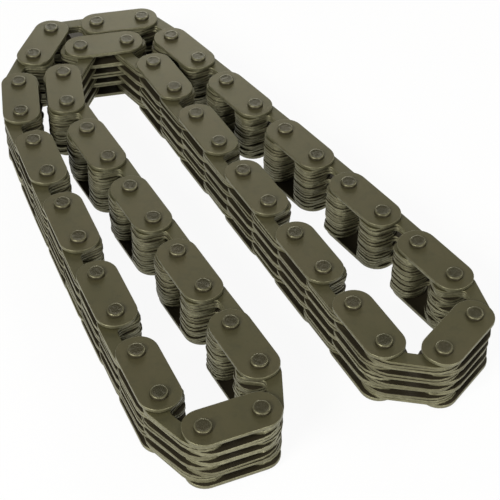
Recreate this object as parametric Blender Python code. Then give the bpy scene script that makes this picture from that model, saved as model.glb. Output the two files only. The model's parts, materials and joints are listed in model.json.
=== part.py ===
"""Silent timing chain, an inverted-tooth chain for an engine's camshaft drive, lying on its side.

A row of guide links and leaf links alternates round the loop. A guide link has two thin guide
plates outside and a pack of toothed leaf plates in the middle. A leaf link has two packs, which
lie between the guide link's plates. Each link carries the riveted pin at its rear end, and its
front end turns on the pin of the next link. The teeth point into the loop.

Metres, +Z up. The pins stand along Z, and the lower pin heads rest on z = 0.
"""

import math

import bpy
import bmesh
import numpy as np
from mathutils import Matrix, Vector

for old in list(bpy.data.objects):
    bpy.data.objects.remove(old, do_unlink=True)

# Driving sizes. A chain's plates are drawn in shares of its pitch.
PITCH = 0.0127                  # half-inch pitch, pin to pin
RUNNING_GAP = 0.00012           # between neighbouring plates, and under a pin's head

# Leaf plates, from a pin: the flat back, the round nose, and the toe that meets the sprocket.
LEAF_BACK = 0.36 * PITCH
NOSE_REACH = 0.35 * PITCH
TOE_REACH = 0.40 * PITCH
TOE_OUTER = 0.24 * PITCH        # from the pin back to the toe's outer corner
TOE_INNER = 0.13 * PITCH        # from the pin forward to the toe's inner corner
CROTCH_DEPTH = 0.15 * PITCH     # from the line of pins to the crotch between the toes
CROTCH_WIDTH = 0.28 * PITCH
LEAF_THICKNESS = 0.00075
LEAVES_OUTER = 5                # plates in each pack of a leaf link
LEAVES_MIDDLE = 6               # plates in the pack of a guide link

# Guide plates: plain rounded bars a little wider towards the teeth.
GUIDE_BACK = 0.36 * PITCH
GUIDE_FRONT = 0.385 * PITCH
GUIDE_END = 0.335 * PITCH
GUIDE_CORNER = 0.33 * PITCH     # radius of the four corners
GUIDE_THICKNESS = 0.00095

# Riveted pins.
PIN_RADIUS = 0.0015
BORE_CLEARANCE = 0.00008        # a pin in the plates that turn on it
HEAD_RADIUS = 0.0020
HEAD_HEIGHT = 0.0008
SHANK_SIDES = 6
HEAD_SIDES = 8

# The rest lay, as (links, turn in degrees) from the root link on. A negative turn wraps the
# chain round its teeth, a positive one bends it backwards.
START_HEADING = -16.5
BENDS = (
    (1, -60.5), (1, -5.5), (8, -0.3), (1, -21.0),       # over the outer top, down the right arm
    (1, -51.0), (1, -60.0), (1, -53.0), (8, 0.0),       # round its end and back up
    (1, 9.5), (1, 64.5), (1, 61.0), (1, 25.0), (1, 19.0), (7, 0.0),     # over to the left arm
    (1, -27.0), (1, -68.5), (1, -65.5), (1, -21.5),     # round its end
    (7, -0.5), (1, -12.0), (1, -20.5), (1, -4.5), (1, -60.0), (1, -2.0),    # back to the root
)
CLOSING_STEPS = 6

STEEL = (0.165, 0.150, 0.105, 1.0)
GUIDE_STEEL = (0.125, 0.115, 0.080, 1.0)


def steel(name, colour, roughness):
    """An oxide-brown hardened steel."""
    material = bpy.data.materials.new(name)
    material.use_nodes = True
    shader = material.node_tree.nodes["Principled BSDF"]
    shader.inputs["Base Color"].default_value = colour
    shader.inputs["Metallic"].default_value = 0.75
    shader.inputs["Roughness"].default_value = roughness
    return material


# Layers, from the floor up: heads, guide, leaf pack, middle pack, leaf pack, guide, heads.
LAYERS = {}
height = HEAD_HEIGHT
for layer, thickness in (
    ("lower_guide", GUIDE_THICKNESS),
    ("lower_leaves", LEAVES_OUTER * LEAF_THICKNESS),
    ("middle_leaves", LEAVES_MIDDLE * LEAF_THICKNESS),
    ("upper_leaves", LEAVES_OUTER * LEAF_THICKNESS),
    ("upper_guide", GUIDE_THICKNESS),
):
    height += RUNNING_GAP
    LAYERS[layer] = (height, height + thickness)
    height += thickness
UPPER_HEADS = height + RUNNING_GAP
CHAIN_WIDTH = UPPER_HEADS + HEAD_HEIGHT


def headings():
    """Each link's heading in radians, in the rest lay.

    The hand-chosen turns leave the loop open by a little. Each step shares the gap out among
    the headings, the least change that closes it, so the last pin meets the root link.
    """
    turns = [turn for links, turn in BENDS for _ in range(links)]
    course = np.radians(START_HEADING + np.concatenate([[0.0], np.cumsum(turns[:-1])]))
    for _ in range(CLOSING_STEPS):
        gap = np.array([np.cos(course).sum(), np.sin(course).sum()])
        slopes = np.array([-np.sin(course), np.cos(course)])
        course -= slopes.T @ np.linalg.solve(slopes @ slopes.T, gap)
    return course


def pin_places(course):
    """Each link's rear pin, the loop's box centred on the origin."""
    steps = PITCH * np.stack([np.cos(course), np.sin(course)], axis=1)
    pins = np.concatenate([[[0.0, 0.0]], np.cumsum(steps, axis=0)[:-1]])
    corners = []
    for angle, pin in zip(course, pins):
        turn = np.array([[math.cos(angle), -math.sin(angle)], [math.sin(angle), math.cos(angle)]])
        corners += [turn @ point + pin for point in leaf_outline() + guide_outline()]
    corners = np.array(corners)
    return pins - (corners.min(axis=0) + corners.max(axis=0)) / 2


def mirrored(half):
    """The rear half of an outline and its mirror image at the front end, as one loop."""
    return half + [(PITCH - x, y) for x, y in reversed(half)]


def leaf_outline():
    """A toothed plate: flat back, rounded noses, a toe at each pin and a crotch between."""
    return mirrored([
        (PITCH / 2 - CROTCH_WIDTH / 2, -CROTCH_DEPTH),
        (TOE_INNER, -TOE_REACH),
        (-TOE_OUTER, -0.82 * TOE_REACH),
        (-NOSE_REACH, 0.0),
        (-0.40 * NOSE_REACH, LEAF_BACK),
    ])


def guide_outline():
    """A plain bar with round corners, three points to a corner."""
    half = []
    for corner_y, first in ((-GUIDE_FRONT + GUIDE_CORNER, 270.0), (GUIDE_BACK - GUIDE_CORNER, 180.0)):
        for step in range(3):
            angle = math.radians(first - 45.0 * step)
            half.append((
                -GUIDE_END + GUIDE_CORNER + GUIDE_CORNER * math.cos(angle),
                corner_y + GUIDE_CORNER * math.sin(angle),
            ))
    return mirrored(half)


def add_plate(shape, outline, layer):
    """Extrudes an outline through its layer."""
    low, high = LAYERS[layer]
    face = shape.faces.new([shape.verts.new((x, y, low)) for x, y in outline])
    raised = bmesh.ops.extrude_face_region(shape, geom=[face])["geom"]
    corners = [item for item in raised if isinstance(item, bmesh.types.BMVert)]
    bmesh.ops.translate(shape, vec=(0.0, 0.0, high - low), verts=corners)


def add_drum(shape, x, radius, low, high, sides):
    """An upright prism, for a pin's shank, its heads and the bore cutter."""
    bmesh.ops.create_cone(
        shape, cap_ends=True, segments=sides, radius1=radius, radius2=radius, depth=high - low,
        matrix=Matrix.Translation((x, 0.0, (low + high) / 2)),
    )


def as_helper(name, shape):
    """A hidden object that a Boolean uses."""
    bmesh.ops.recalc_face_normals(shape, faces=shape.faces)
    mesh = bpy.data.meshes.new(name)
    shape.to_mesh(mesh)
    shape.free()
    helper = bpy.data.objects.new(name, mesh)
    helper.hide_render = True
    helper.display_type = "WIRE"
    bpy.context.collection.objects.link(helper)
    return helper


def link_mesh(name, outlines, material):
    """One link as a single body: its plates on their pin, with the next pin's bore cut through."""
    plates = bmesh.new()
    for layer, outline in outlines.items():
        add_plate(plates, outline, layer)
    shank = bmesh.new()
    add_drum(shank, 0.0, PIN_RADIUS, HEAD_HEIGHT / 2, CHAIN_WIDTH - HEAD_HEIGHT / 2, SHANK_SIDES)
    heads = bmesh.new()
    add_drum(heads, 0.0, HEAD_RADIUS, 0.0, HEAD_HEIGHT, HEAD_SIDES)
    add_drum(heads, 0.0, HEAD_RADIUS, UPPER_HEADS, CHAIN_WIDTH, HEAD_SIDES)
    bore = bmesh.new()
    bore_corner = (PIN_RADIUS + BORE_CLEARANCE) / math.cos(math.pi / SHANK_SIDES)
    add_drum(bore, PITCH, bore_corner, -HEAD_HEIGHT, CHAIN_WIDTH + HEAD_HEIGHT, SHANK_SIDES)

    body = as_helper(name + "_plates", plates)
    for operation, tool in (
        ("DIFFERENCE", as_helper(name + "_bore", bore)),
        ("UNION", as_helper(name + "_shank", shank)),
        ("UNION", as_helper(name + "_heads", heads)),
    ):
        cut = body.modifiers.new(tool.name, "BOOLEAN")
        cut.operation = operation
        cut.object = tool
    finished = bpy.data.meshes.new_from_object(body.evaluated_get(bpy.context.evaluated_depsgraph_get()))
    finished.name = name
    finished.materials.clear()
    finished.materials.append(material)
    for modifier in list(body.modifiers):
        tool = modifier.object
        body.modifiers.remove(modifier)
        bpy.data.objects.remove(tool)
    bpy.data.objects.remove(body)
    return finished


guide_link = link_mesh(
    "guide_link",
    {"lower_guide": guide_outline(), "middle_leaves": leaf_outline(), "upper_guide": guide_outline()},
    steel("guide_steel", GUIDE_STEEL, 0.50),
)
leaf_link = link_mesh(
    "leaf_link",
    {"lower_leaves": leaf_outline(), "upper_leaves": leaf_outline()},
    steel("leaf_steel", STEEL, 0.45),
)

# The chain, link by link. Each link hangs on the one before, so its place in the loop is one
# pitch along and the turn between their headings, and its origin is on the pin it turns on.
course = headings()
pins = pin_places(course)
previous = None
for index, heading in enumerate(course):
    kind, mesh = ("leaf_link", leaf_link) if index % 2 else ("guide_link", guide_link)
    link = bpy.data.objects.new(f"{kind}_{index + 1:02d}", mesh)
    bpy.context.collection.objects.link(link)
    if previous is None:
        link.location = Vector((*pins[index], 0.0))
        link.rotation_euler.z = heading
    else:
        link.parent = previous
        link.location = (PITCH, 0.0, 0.0)
        link.rotation_euler.z = heading - course[index - 1]
    previous = link
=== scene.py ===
import json
import math
import random

import bmesh
import bpy
from mathutils import Matrix, Vector
from mathutils.noise import noise

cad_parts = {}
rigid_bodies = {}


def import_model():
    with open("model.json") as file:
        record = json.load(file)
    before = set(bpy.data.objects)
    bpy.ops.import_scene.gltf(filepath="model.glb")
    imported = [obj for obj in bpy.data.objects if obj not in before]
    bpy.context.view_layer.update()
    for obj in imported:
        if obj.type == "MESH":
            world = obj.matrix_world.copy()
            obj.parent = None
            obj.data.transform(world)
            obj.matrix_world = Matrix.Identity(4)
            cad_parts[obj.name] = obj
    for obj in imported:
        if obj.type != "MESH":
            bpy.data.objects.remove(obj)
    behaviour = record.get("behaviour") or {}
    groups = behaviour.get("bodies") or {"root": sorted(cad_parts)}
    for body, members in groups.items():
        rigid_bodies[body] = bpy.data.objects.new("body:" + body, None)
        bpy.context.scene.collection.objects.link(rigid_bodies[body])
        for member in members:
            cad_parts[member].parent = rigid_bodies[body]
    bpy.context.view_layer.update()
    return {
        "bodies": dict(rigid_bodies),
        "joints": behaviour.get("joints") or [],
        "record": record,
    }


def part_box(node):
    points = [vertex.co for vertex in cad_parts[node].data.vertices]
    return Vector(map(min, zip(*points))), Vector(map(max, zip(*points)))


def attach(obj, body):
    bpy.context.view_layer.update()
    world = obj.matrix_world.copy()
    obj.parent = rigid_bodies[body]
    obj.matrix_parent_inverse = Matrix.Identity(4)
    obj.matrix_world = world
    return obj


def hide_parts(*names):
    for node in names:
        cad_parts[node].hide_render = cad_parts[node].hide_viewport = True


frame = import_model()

# The camera, floor and light. The chain lies on its side on a pale floor, seen from the open end
# of its loop, from above and a little to the left, among four large soft lamps.
CAMERA_AZIMUTH = math.radians(-29.7)
CAMERA_ELEVATION = math.radians(43.56)
CAMERA_ROLL = math.radians(0.91)
CAMERA_DISTANCE = 0.3231
CAMERA_LENS = 95.02
LOOK_AT = Vector((0.00833, -0.01465, 0.0))
WHITE = (1.0, 1.0, 1.0, 1.0)
LAMP_COLOUR = (1.0, 0.985, 0.94)
WORLD_STRENGTH = 0.24
FLOOR_COLOUR = (0.86, 0.86, 0.85, 1.0)
FLOOR_SIZE = 6.0
FLOOR_GLOW = 0.93               # the share of white in what is seen of the floor

scene = bpy.context.scene
scene.view_settings.view_transform = "Standard"

sight = Vector((
    -math.sin(CAMERA_AZIMUTH) * math.cos(CAMERA_ELEVATION),
    math.cos(CAMERA_AZIMUTH) * math.cos(CAMERA_ELEVATION),
    -math.sin(CAMERA_ELEVATION),
))
level_right = Vector((math.cos(CAMERA_AZIMUTH), math.sin(CAMERA_AZIMUTH), 0.0))
level_up = level_right.cross(sight)
right = math.cos(CAMERA_ROLL) * level_right + math.sin(CAMERA_ROLL) * level_up
up = -math.sin(CAMERA_ROLL) * level_right + math.cos(CAMERA_ROLL) * level_up
lens = bpy.data.cameras.new("camera")
lens.lens = CAMERA_LENS
lens.sensor_width = 36.0
lens.clip_start = 0.01
camera = bpy.data.objects.new("camera", lens)
camera.matrix_world = (
    Matrix.Translation(LOOK_AT - CAMERA_DISTANCE * sight)
    @ Matrix((right, up, -sight)).transposed().to_4x4()
)
scene.collection.objects.link(camera)
scene.camera = camera

for name, place, power, size in (
    ("key_lamp", (0.75, 0.10, 0.70), 1.9, 0.30),
    ("back_lamp", (0.42, 0.85, 0.30), 2.8, 0.40),
    ("front_lamp", (0.10, -0.95, 0.16), 4.3, 0.40),
    ("side_lamp", (-0.80, -0.30, 0.62), 11.3, 0.40),
):
    lamp = bpy.data.lights.new(name, "AREA")
    lamp.energy = power
    lamp.color = LAMP_COLOUR
    lamp.size = size
    holder = bpy.data.objects.new(name, lamp)
    holder.location = place
    holder.rotation_euler = (-Vector(place)).to_track_quat("-Z", "Y").to_euler()
    scene.collection.objects.link(holder)

world = bpy.data.worlds.new("studio")
world.use_nodes = True
scene.world = world
sky = world.node_tree.nodes["Background"]
sky.inputs["Color"].default_value = WHITE
sky.inputs["Strength"].default_value = WORLD_STRENGTH

pale = bpy.data.materials.new("pale_floor")
pale.use_nodes = True
tree = pale.node_tree
matt = tree.nodes["Principled BSDF"]
matt.inputs["Base Color"].default_value = FLOOR_COLOUR
matt.inputs["Roughness"].default_value = 0.9
matt.inputs["Specular IOR Level"].default_value = 0.1
glow = tree.nodes.new("ShaderNodeEmission")
glow.inputs["Color"].default_value = WHITE
path = tree.nodes.new("ShaderNodeLightPath")
seen = path.outputs["Is Camera Ray"]
for kind in ("Is Glossy Ray", "Is Transmission Ray"):
    either = tree.nodes.new("ShaderNodeMath")
    either.operation = "ADD"
    tree.links.new(seen, either.inputs[0])
    tree.links.new(path.outputs[kind], either.inputs[1])
    seen = either.outputs["Value"]
share = tree.nodes.new("ShaderNodeMath")
share.operation = "MULTIPLY"
share.inputs[1].default_value = FLOOR_GLOW
tree.links.new(seen, share.inputs[0])
blend = tree.nodes.new("ShaderNodeMixShader")
tree.links.new(share.outputs["Value"], blend.inputs["Fac"])
tree.links.new(matt.outputs["BSDF"], blend.inputs[1])
tree.links.new(glow.outputs["Emission"], blend.inputs[2])
tree.links.new(blend.outputs["Shader"], tree.nodes["Material Output"].inputs["Surface"])


def as_mesh(name, shape):
    """A finished shape as a named mesh."""
    mesh = bpy.data.meshes.new(name)
    shape.to_mesh(mesh)
    shape.free()
    return mesh


plane = bmesh.new()
bmesh.ops.create_grid(plane, x_segments=1, y_segments=1, size=FLOOR_SIZE / 2)
floor = bpy.data.objects.new("floor", as_mesh("floor", plane))
scene.collection.objects.link(floor)
floor.data.materials.append(pale)

# The steel. Every piece is hardened steel with an olive-brown oxide skin, matt on the faces and
# rubbed to a paler grey-green on the blanked edges, with a fine grain and thin films of oil. The
# faces that lie within the lacing, and the feet of the pin heads, are darkened with painted shade.
METALLIC = 0.55
OIL_DRIFT = (0.120, 0.092, 0.050, 1.0)
SMALL_STAIN = (0.055, 0.056, 0.030, 1.0)
# The colour of the painted shade on faces within the lacing and at the feet of the pin heads.
PAINTED_SHADE_COLOUR = (0.046, 0.038, 0.022, 1.0)
RELIEF_DEPTH = 0.00005


def oxide_steel_group():
    """Colour, roughness and height of the skin, from the edge attribute and the attribute that marks where
    shade is painted.
    """
    group = bpy.data.node_groups.new("oxide_skin", "ShaderNodeTree")
    for side, name, kind in (
        ("INPUT", "Skin", "Color"), ("INPUT", "Edge", "Color"), ("INPUT", "Grain", "Float"),
        ("INPUT", "Skin Roughness", "Float"), ("INPUT", "Edge Roughness", "Float"),
        ("OUTPUT", "Color", "Color"), ("OUTPUT", "Roughness", "Float"), ("OUTPUT", "Height", "Float"),
    ):
        group.interface.new_socket(name, in_out=side, socket_type="NodeSocket" + kind)
    nodes, links = group.nodes, group.links
    given = nodes.new("NodeGroupInput")
    result = nodes.new("NodeGroupOutput")
    place = nodes.new("ShaderNodeTexCoord")

    def feed(socket, value):
        if isinstance(value, bpy.types.NodeSocket):
            links.new(value, socket)
        else:
            socket.default_value = value

    def attribute(name):
        node = nodes.new("ShaderNodeAttribute")
        node.attribute_name = name
        return node.outputs["Fac"]

    def cloud(scale, detail, roughness):
        texture = nodes.new("ShaderNodeTexNoise")
        texture.inputs["Scale"].default_value = scale
        texture.inputs["Detail"].default_value = detail
        texture.inputs["Roughness"].default_value = roughness
        links.new(place.outputs["Object"], texture.inputs["Vector"])
        return texture.outputs["Fac"]

    def spread(value, low, high, to_low, to_high):
        node = nodes.new("ShaderNodeMapRange")
        for name, number in (("From Min", low), ("From Max", high), ("To Min", to_low), ("To Max", to_high)):
            node.inputs[name].default_value = number
        links.new(value, node.inputs["Value"])
        return node.outputs["Result"]

    def calculate(operation, first, second):
        node = nodes.new("ShaderNodeMath")
        node.operation = operation
        feed(node.inputs[0], first)
        feed(node.inputs[1], second)
        return node.outputs["Value"]

    def mix(factor, first, second):
        node = nodes.new("ShaderNodeMix")
        node.data_type = "RGBA"
        for number, value in ((0, factor), (6, first), (7, second)):
            feed(node.inputs[number], value)
        return node.outputs[2]

    # Two sizes of patch, wide oily drifts and small stains, and then the rubbed edges.
    drifts = spread(cloud(scale=70.0, detail=3.0, roughness=0.6), 0.35, 0.68, 0.0, 1.0)
    stains = spread(cloud(scale=420.0, detail=4.0, roughness=0.65), 0.48, 0.72, 0.0, 1.0)
    rubbed = spread(cloud(scale=900.0, detail=5.0, roughness=0.7), 0.34, 0.62, 0.35, 1.0)
    grain = cloud(scale=5200.0, detail=2.0, roughness=0.5)
    skin = mix(calculate("MULTIPLY", drifts, 0.20), given.outputs["Skin"], OIL_DRIFT)
    skin = mix(calculate("MULTIPLY", stains, 0.35), skin, SMALL_STAIN)
    # Painted shade: where its attribute is set, the skin darkens towards a colour that stands in for the
    # shade between the parts.
    skin = mix(attribute("painted_shade"), skin, PAINTED_SHADE_COLOUR)
    worn = calculate("MULTIPLY", attribute("edge"), rubbed)
    links.new(mix(worn, skin, given.outputs["Edge"]), result.inputs["Color"])

    skin_rough = calculate("ADD", given.outputs["Skin Roughness"], spread(drifts, 0.0, 1.0, -0.02, 0.03))
    change = calculate("SUBTRACT", given.outputs["Edge Roughness"], skin_rough)
    roughness = calculate("ADD", skin_rough, calculate("MULTIPLY", change, worn))
    links.new(roughness, result.inputs["Roughness"])

    grain = calculate("MULTIPLY", grain, given.outputs["Grain"])
    height = calculate("ADD", grain, calculate("MULTIPLY", stains, -0.35))
    links.new(height, result.inputs["Height"])
    return group


OXIDE_SKIN = oxide_steel_group()


def oxide_steel(name, skin, edge, grain, skin_roughness, edge_roughness, relief_strength=0.25):
    """One of the chain's steels, from the shared oxide skin."""
    material = bpy.data.materials.new(name)
    material.use_nodes = True
    tree = material.node_tree
    shader = tree.nodes["Principled BSDF"]
    shader.inputs["Metallic"].default_value = METALLIC
    cover = tree.nodes.new("ShaderNodeGroup")
    cover.node_tree = OXIDE_SKIN
    for socket, value in (("Skin", skin), ("Edge", edge), ("Grain", grain),
                          ("Skin Roughness", skin_roughness), ("Edge Roughness", edge_roughness)):
        cover.inputs[socket].default_value = value
    relief = tree.nodes.new("ShaderNodeBump")
    relief.inputs["Strength"].default_value = relief_strength
    relief.inputs["Distance"].default_value = RELIEF_DEPTH
    tree.links.new(cover.outputs["Height"], relief.inputs["Height"])
    tree.links.new(relief.outputs["Normal"], shader.inputs["Normal"])
    tree.links.new(cover.outputs["Color"], shader.inputs["Base Color"])
    tree.links.new(cover.outputs["Roughness"], shader.inputs["Roughness"])
    return material


# The lay of the chain. Each link's rear pin is the hinge that the frame gives it, the root link's
# is where the frame rests it, and a link points at the next link's rear pin.
LINKS = len(frame["bodies"])
BODIES = [f"link_{number:02d}" for number in range(1, LINKS + 1)]
NODE_OF = {body: nodes[0] for body, nodes in frame["record"]["behaviour"]["bodies"].items()}
hinge_place = {joint["child"]: joint["pos_m"] for joint in frame["joints"]}
rest_face = next(mount for mount in frame["record"]["mounts"] if mount["name"] == "rest_face")
hinge_place[BODIES[0]] = rest_face["pos_m"]
PINS = [Vector((*hinge_place[body][:2], 0.0)) for body in BODIES]
PITCH = sum((PINS[i] - PINS[i - 1]).length for i in range(LINKS)) / LINKS


def link_frame(index):
    """Rear pin at the origin, the front pin along +X, the teeth towards -Y."""
    along = PINS[(index + 1) % LINKS] - PINS[index]
    return Matrix.Translation(PINS[index]) @ Matrix.Rotation(math.atan2(along.y, along.x), 4, "Z")


def seat(mesh, index, steel):
    """Puts a finished mesh in its link's place, on its link's body."""
    mesh.transform(link_frame(index))
    mesh.materials.append(steel)
    piece = bpy.data.objects.new(mesh.name, mesh)
    scene.collection.objects.link(piece)
    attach(piece, BODIES[index])
    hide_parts(NODE_OF[BODIES[index]])


# The stack. From the floor up it is a pin head, a guide plate, sixteen leaf plates in seven packs,
# a guide plate and a head, within the height of the frame's own links. The packs of the two kinds
# of link take turns, so that neighbours lace into each other.
LOW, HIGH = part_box(NODE_OF[BODIES[0]])
WIDTH = HIGH[2] - LOW[2]
HEAD = 0.0008
HEAD_GAP = 0.00012
GUIDE_THICKNESS = 0.00095
PACKS = (("leaf", 3), ("guide", 2), ("leaf", 2), ("guide", 2), ("leaf", 2), ("guide", 2), ("leaf", 3))
PACK_GAP = 0.00006
PLATE_GAP = 0.00006

GUIDE_LOWS = (HEAD + HEAD_GAP, WIDTH - HEAD - HEAD_GAP - GUIDE_THICKNESS)
INNER_LOW = GUIDE_LOWS[0] + GUIDE_THICKNESS + PACK_GAP
INNER_HIGH = GUIDE_LOWS[1] - PACK_GAP
PLATES = sum(count for _, count in PACKS)
LEAF_PITCH = (INNER_HIGH - INNER_LOW - PACK_GAP * (len(PACKS) - 1)) / PLATES
LEAF_THICKNESS = LEAF_PITCH - PLATE_GAP
LEAF_LOWS = {"leaf": [], "guide": []}
level = INNER_LOW
for row, count in PACKS:
    for _ in range(count):
        LEAF_LOWS[row].append(level)
        level += LEAF_PITCH
    level += PACK_GAP

# Leaf plates. Toothed plates blanked from thin spring steel and tumbled: a flat back, rounded ends,
# and two toes whose flanks meet the sprocket's teeth. They hang a little loose on their pins, so a
# stack is uneven.
LEAF_BACK = 0.36 * PITCH
TOE_REACH = 0.40 * PITCH
LEAF_HALF = (                   # corner, its radius and its steps, from the crotch to the back
    ((0.33 * PITCH, 0.10 * PITCH), (0.0009, 2)),
    ((0.25 * PITCH, -TOE_REACH), (0.0019, 3)),
    ((-0.27 * PITCH, -TOE_REACH), (0.0023, 3)),
    ((-0.335 * PITCH, -0.04 * PITCH), (0.0014, 2)),
    ((-0.21 * PITCH, LEAF_BACK), (0.0043, 4)),
)
LEAF_RIM = 0.00009
LEAF_SHAKE = 0.00016
LEAF_TILT = math.radians(1.3)
LEAST_RUBBED = 0.35
LAY_SEED = 700
TOUCH = 1e-6                    # points this close are one
FLAT = 0.999                    # a face is flat when its normal is this upright
PLATE_SHARP = 50.0              # degrees


def blank(half, thickness, rim, rim_steps):
    """A plate on z = 0, square to its faces, from the corners and rounds of its rear half."""
    places = [Vector(place) for place, _ in half]
    places += [Vector((PITCH - place.x, place.y)) for place in reversed(places)]
    rounds = [kind for _, kind in half]
    rounds += reversed(rounds)
    plate = bmesh.new()
    edge = plate.verts.layers.float.new("edge")
    face = plate.faces.new([plate.verts.new((place.x, place.y, 0.0)) for place in places])
    raised = bmesh.ops.extrude_face_region(plate, geom=[face])["geom"]
    lifted = [item for item in raised if isinstance(item, bmesh.types.BMVert)]
    bmesh.ops.translate(plate, vec=(0.0, 0.0, thickness), verts=lifted)
    bmesh.ops.recalc_face_normals(plate, faces=plate.faces)
    for radius, steps in sorted(set(rounds), reverse=True):
        chosen = [place for place, kind in zip(places, rounds) if kind == (radius, steps)]
        upright = [
            e for e in plate.edges
            if (e.verts[0].co - e.verts[1].co).xy.length < TOUCH
            and min((e.verts[0].co.xy - place).length for place in chosen) < TOUCH
        ]
        bmesh.ops.bevel(plate, geom=upright, offset=radius, offset_type="OFFSET", segments=steps,
                        profile=0.5, affect="EDGES", material=-1, clamp_overlap=False)
    rims = list({e for f in plate.faces if abs(f.normal.z) > FLAT for e in f.edges})
    bmesh.ops.bevel(plate, geom=rims, offset=rim, offset_type="OFFSET", segments=rim_steps,
                    profile=0.5, affect="EDGES", material=-1, clamp_overlap=True)
    for vert in plate.verts:
        vert[edge] = 0.0 if any(abs(f.normal.z) > FLAT for f in vert.link_faces) else 1.0
    return plate


def add_plate(stack, plate_mesh):
    """Adds a copy of a plate to a stack, and gives its points."""
    before = set(stack.verts)
    stack.from_mesh(plate_mesh)
    return [vert for vert in stack.verts if vert not in before]


def shade(mesh, sharp):
    """Round rims and walls, with the broad faces left dead flat."""
    mesh.shade_smooth()
    mesh.set_sharp_from_angle(angle=math.radians(sharp))
    for polygon in mesh.polygons:
        if abs(polygon.normal.z) > FLAT:
            polygon.use_smooth = False


LEAF_STEEL = oxide_steel("leaf_steel", skin=(0.088, 0.082, 0.038, 1.0), edge=(0.275, 0.265, 0.163, 1.0),
                         grain=0.5, skin_roughness=0.50, edge_roughness=0.42)
leaf_plate = as_mesh("leaf_plate", blank(LEAF_HALF, LEAF_THICKNESS, LEAF_RIM, 1))

for index in range(LINKS):
    row = "leaf" if index % 2 else "guide"
    chance = random.Random(LAY_SEED + index)
    stack = bmesh.new()
    edge = stack.verts.layers.float.new("edge")
    painted_shade = stack.verts.layers.float.new("painted_shade")
    for low in LEAF_LOWS[row]:
        added = add_plate(stack, leaf_plate)
        sway = Matrix.Translation((PITCH / 2, 0.0, 0.0)) @ Matrix.Rotation(
            chance.uniform(-LEAF_TILT, LEAF_TILT), 4, "Z") @ Matrix.Translation((-PITCH / 2, 0.0, 0.0))
        shift = Matrix.Translation((chance.uniform(-LEAF_SHAKE, LEAF_SHAKE),
                                    chance.uniform(-LEAF_SHAKE, LEAF_SHAKE), low))
        bmesh.ops.transform(stack, matrix=shift @ sway, verts=added)
        rubbing = chance.uniform(LEAST_RUBBED, 1.0)
        # Painted shade on every broad face within the lacing; the outermost faces of the stack and the edges
        # stay clear.
        outward = min(low - INNER_LOW, INNER_HIGH - low - LEAF_THICKNESS) < 0.0001
        for vert in added:
            vert[painted_shade] = 0.0 if outward or vert[edge] > 0.0 else 1.0
            vert[edge] *= rubbing
    mesh = as_mesh(f"leaf_plates_{index + 1:02d}", stack)
    shade(mesh, PLATE_SHARP)
    seat(mesh, index, LEAF_STEEL)

# Guide plates. Two thin plain bars on each guide link keep the chain on the sprocket. Both pins of
# the link are riveted over them, and their corners are cut to a wide round.
GUIDE_END = 0.335 * PITCH
GUIDE_BACK = 0.36 * PITCH
GUIDE_FRONT = 0.385 * PITCH
GUIDE_CORNER = (0.0044, 8)
GUIDE_HALF = (
    ((-GUIDE_END, GUIDE_BACK), GUIDE_CORNER),
    ((-GUIDE_END, -GUIDE_FRONT), GUIDE_CORNER),
)
GUIDE_RIM = 0.00014

GUIDE_STEEL = oxide_steel("guide_steel", skin=(0.090, 0.082, 0.038, 1.0), edge=(0.195, 0.187, 0.113, 1.0),
                          grain=0.4, skin_roughness=0.46, edge_roughness=0.42)
guide_plate = as_mesh("guide_plate", blank(GUIDE_HALF, GUIDE_THICKNESS, GUIDE_RIM, 2))

for index in range(0, LINKS, 2):
    pair = bmesh.new()
    edge = pair.verts.layers.float.new("edge")
    painted_shade = pair.verts.layers.float.new("painted_shade")
    for low in GUIDE_LOWS:
        added = add_plate(pair, guide_plate)
        for vert in added:
            # Painted shade on the broad faces of the guide plates that face the leaf plates.
            inner = (vert.co.z > GUIDE_THICKNESS / 2) == (low == GUIDE_LOWS[0])
            vert[painted_shade] = 1.0 if inner and vert[edge] == 0.0 else 0.0
        bmesh.ops.translate(pair, vec=(0.0, 0.0, low), verts=added)
    mesh = as_mesh(f"guide_plates_{index + 1:02d}", pair)
    shade(mesh, PLATE_SHARP)
    seat(mesh, index, GUIDE_STEEL)
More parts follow.
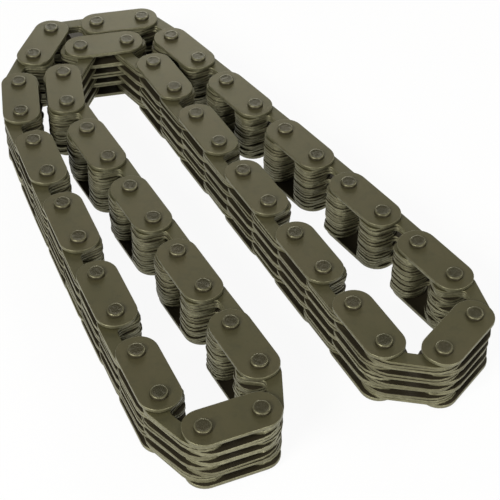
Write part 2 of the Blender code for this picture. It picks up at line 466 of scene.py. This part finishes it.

# Pins. Plain round pins through the whole width, each end spun over into a low head with a rolled
# rim round a dished, hammered middle. Each rides on the link whose rear end it holds, and its head
# is darkened towards the foot with painted shade, in place of the shadow where it meets the plate.
PIN_RADIUS = 0.0015
HEAD_RADIUS = 0.0020
PIN_STEPS = 20
PIN_SHARP = 60.0                # degrees
HEAD_PROFILE = (
    (0.0, WIDTH - 0.00008),
    (0.00090, WIDTH - 0.00007),
    (0.00140, WIDTH - 0.00004),
    (0.00165, WIDTH),
    (0.00185, WIDTH - 0.00005),
    (0.00199, WIDTH - 0.00022),
    (HEAD_RADIUS, WIDTH - 0.00045),
    (HEAD_RADIUS, WIDTH - HEAD),
    (PIN_RADIUS, WIDTH - HEAD - 0.00004),
    (PIN_RADIUS, WIDTH / 2),
)
HAMMERED_REACH = 0.0006         # how far down the head the blows show
HAMMERED_DEPTH = 0.00009
HAMMERED_SHRINK = 0.030
BLOWS = 1800                    # blows to a metre
RUBBED_RING = 0.00182           # the radius of the rubbed rim
RUBBED_WIDTH = 0.0003

PIN_STEEL = oxide_steel("pin_steel", skin=(0.044, 0.040, 0.018, 1.0), edge=(0.200, 0.190, 0.110, 1.0),
                        grain=0.9, skin_roughness=0.42, edge_roughness=0.34, relief_strength=0.8)

for index in range(LINKS):
    pin = bmesh.new()
    edge = pin.verts.layers.float.new("edge")
    painted_shade = pin.verts.layers.float.new("painted_shade")
    line = [pin.verts.new((radius, 0.0, height)) for radius, height in HEAD_PROFILE]
    for first, second in zip(line, line[1:]):
        pin.edges.new((first, second))
    bmesh.ops.spin(pin, geom=pin.verts[:] + pin.edges[:], cent=(0.0, 0.0, 0.0), axis=(0.0, 0.0, 1.0),
                   angle=math.tau, steps=PIN_STEPS, use_merge=True)
    bmesh.ops.mirror(pin, geom=pin.verts[:] + pin.edges[:] + pin.faces[:],
                     matrix=Matrix.Translation((0.0, 0.0, -WIDTH / 2)), axis="Z", merge_dist=TOUCH)
    bmesh.ops.remove_doubles(pin, verts=pin.verts, dist=TOUCH)
    bmesh.ops.recalc_face_normals(pin, faces=pin.faces)
    for vert in pin.verts:
        radius = vert.co.xy.length
        end = abs(vert.co.z - WIDTH / 2) - WIDTH / 2
        if end > -HAMMERED_REACH and radius > 1e-5:
            blow = 1 + noise(Vector((vert.co.x * BLOWS, vert.co.y * BLOWS, index * 7.3 + vert.co.z * 50)))
            vert.co.z -= math.copysign(HAMMERED_DEPTH * blow, vert.co.z - WIDTH / 2)
            vert.co.xy *= 1.0 - HAMMERED_SHRINK * blow
        vert[edge] = max(0.0, 1.0 - abs(radius - RUBBED_RING) / RUBBED_WIDTH) if end > -0.0004 else 0.0
        # Painted shade: darker down the wall of each head towards its foot and along the hidden shank,
        # standing in for the contact shadow.
        vert[painted_shade] = min(1.0, max(0.0, (-end - 0.0002) / 0.0003))
    mesh = as_mesh(f"pin_{index + 1:02d}", pin)
    mesh.shade_smooth()
    mesh.set_sharp_from_angle(angle=math.radians(PIN_SHARP))
    seat(mesh, index, PIN_STEEL)
